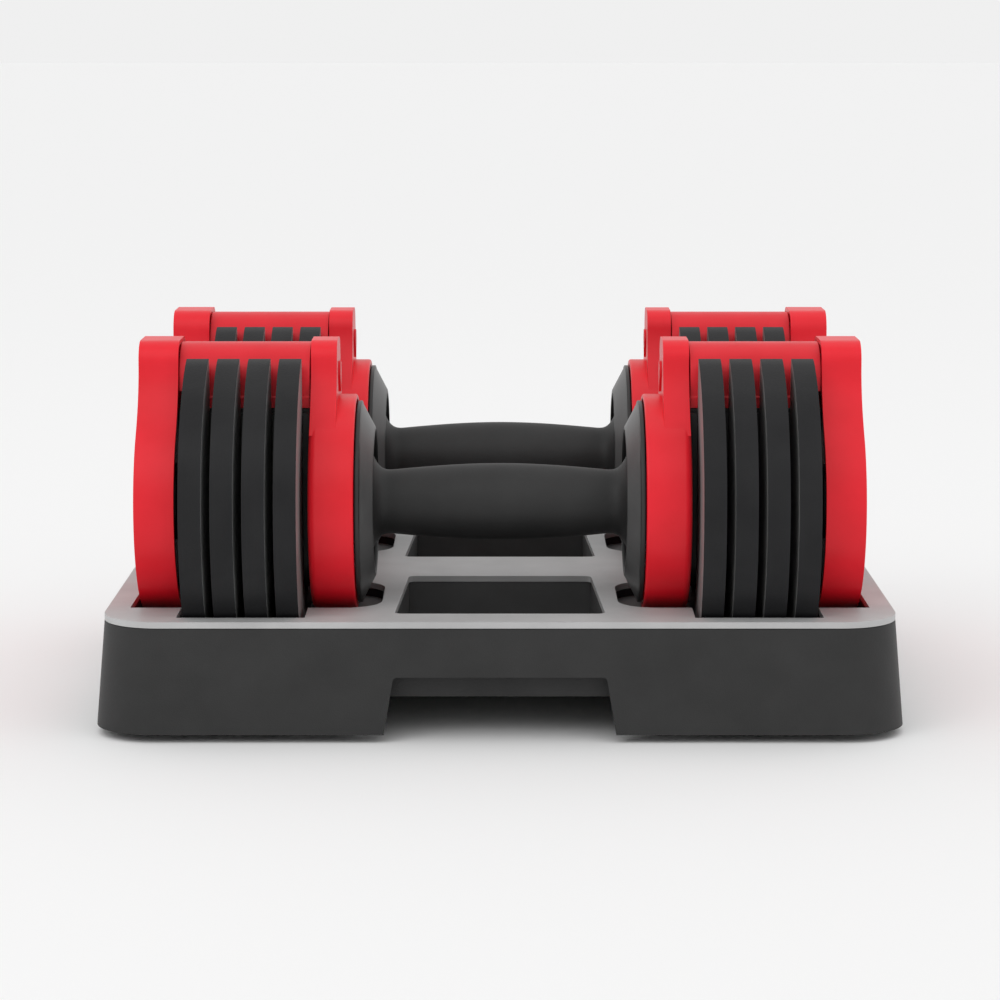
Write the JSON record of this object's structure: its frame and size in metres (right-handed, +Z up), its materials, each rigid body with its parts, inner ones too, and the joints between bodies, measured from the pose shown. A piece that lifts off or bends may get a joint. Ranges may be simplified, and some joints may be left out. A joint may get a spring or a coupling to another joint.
{
  "type": "adjustable dumbbell pair with tray",
  "caption": "Pair of twist-select adjustable dumbbells docked in a shared two-bay tray, with red end guards, slotted round plates and a rubber grip",
  "frame": {"origin": "on the floor under the middle of the tray", "axes": "+X along the shafts, -Y towards the front with the finger notch, +Z up"},
  "size_m": [0.384, 0.316, 0.183],
  "materials": {
    "deck_grey": "fine-grained light grey moulding",
    "skirt_charcoal": "fine-grained charcoal moulding",
    "foot_rubber": "matt black rubber",
    "shaft_steel": "black oxide steel",
    "core_black": "satin black moulding",
    "grip_rubber": "matt black rubber",
    "guard_red": "satin red moulding",
    "ring_grey": "satin dark grey moulding",
    "comb_black": "satin black moulding",
    "drum_black": "satin black moulding",
    "cover_red": "satin red moulding",
    "cap_red": "satin red moulding",
    "disc_iron": "dark grey coated iron",
    "plate_iron": "dark grey coated iron",
    "latch_black": "satin black moulding"
  },
  "bodies": {
    "tray": {"tray_deck": "deck_grey", "tray_skirt": "skirt_charcoal", "foot_front_left": "foot_rubber", "foot_front_right": "foot_rubber", "foot_rear_left": "foot_rubber", "foot_rear_right": "foot_rubber", "rear_left_plate_1": "plate_iron", "rear_left_plate_2": "plate_iron", "rear_left_plate_3": "plate_iron", "rear_left_plate_4": "plate_iron", "rear_right_plate_1": "plate_iron", "rear_right_plate_2": "plate_iron", "rear_right_plate_3": "plate_iron", "rear_right_plate_4": "plate_iron"},
    "front_dumbbell": {"front_shaft": "shaft_steel", "front_left_inner_guard": "guard_red", "front_left_dished_ring": "ring_grey", "front_left_plate_comb": "comb_black", "front_left_top_cover": "cover_red", "front_left_outer_cap": "cap_red", "front_left_end_disc": "disc_iron", "front_right_inner_guard": "guard_red", "front_right_dished_ring": "ring_grey", "front_right_plate_comb": "comb_black", "front_right_top_cover": "cover_red", "front_right_outer_cap": "cap_red", "front_right_end_disc": "disc_iron", "front_left_plate_1": "plate_iron", "front_left_plate_2": "plate_iron", "front_left_plate_3": "plate_iron", "front_left_plate_4": "plate_iron", "front_right_plate_1": "plate_iron", "front_right_plate_2": "plate_iron", "front_right_plate_3": "plate_iron", "front_right_plate_4": "plate_iron"},
    "front_selector": {"front_handle_core": "core_black", "front_rubber_grip": "grip_rubber", "front_left_selector_drum": "drum_black", "front_right_selector_drum": "drum_black"},
    "front_left_latch": {"front_left_lock_latch": "latch_black"},
    "front_right_latch": {"front_right_lock_latch": "latch_black"},
    "rear_dumbbell": {"rear_shaft": "shaft_steel", "rear_left_inner_guard": "guard_red", "rear_left_dished_ring": "ring_grey", "rear_left_plate_comb": "comb_black", "rear_left_top_cover": "cover_red", "rear_left_outer_cap": "cap_red", "rear_left_end_disc": "disc_iron", "rear_right_inner_guard": "guard_red", "rear_right_dished_ring": "ring_grey", "rear_right_plate_comb": "comb_black", "rear_right_top_cover": "cover_red", "rear_right_outer_cap": "cap_red", "rear_right_end_disc": "disc_iron"},
    "rear_selector": {"rear_handle_core": "core_black", "rear_rubber_grip": "grip_rubber", "rear_left_selector_drum": "drum_black", "rear_right_selector_drum": "drum_black"},
    "rear_left_latch": {"rear_left_lock_latch": "latch_black"},
    "rear_right_latch": {"rear_right_lock_latch": "latch_black"}
  },
  "joints": [
    {"name": "front_lift", "type": "slide", "parent": "tray", "child": "front_dumbbell", "axis": [0, 0, 1], "range_m": [0, 0.2]},
    {"name": "front_grip_twist", "type": "hinge", "parent": "front_dumbbell", "child": "front_selector", "pos_m": [0, -0.0805, 0.103], "axis": [1, 0, 0], "range_deg": [0, 100]},
    {"name": "front_left_latch_push", "type": "slide", "parent": "front_dumbbell", "child": "front_left_latch", "axis": [0, 0, 1], "range_m": [0, 0.0035], "stiffness_N_per_m": 150, "springref_m": -0.004},
    {"name": "front_right_latch_push", "type": "slide", "parent": "front_dumbbell", "child": "front_right_latch", "axis": [0, 0, 1], "range_m": [0, 0.0035], "stiffness_N_per_m": 150, "springref_m": -0.004},
    {"name": "rear_lift", "type": "slide", "parent": "tray", "child": "rear_dumbbell", "axis": [0, 0, 1], "range_m": [0, 0.2]},
    {"name": "rear_grip_twist", "type": "hinge", "parent": "rear_dumbbell", "child": "rear_selector", "pos_m": [0, 0.0805, 0.103], "axis": [1, 0, 0], "range_deg": [-100, 0]},
    {"name": "rear_left_latch_push", "type": "slide", "parent": "rear_dumbbell", "child": "rear_left_latch", "axis": [0, 0, 1], "range_m": [0, 0.0035], "stiffness_N_per_m": 150, "springref_m": -0.004},
    {"name": "rear_right_latch_push", "type": "slide", "parent": "rear_dumbbell", "child": "rear_right_latch", "axis": [0, 0, 1], "range_m": [0, 0.0035], "stiffness_N_per_m": 150, "springref_m": -0.004}
  ]
}
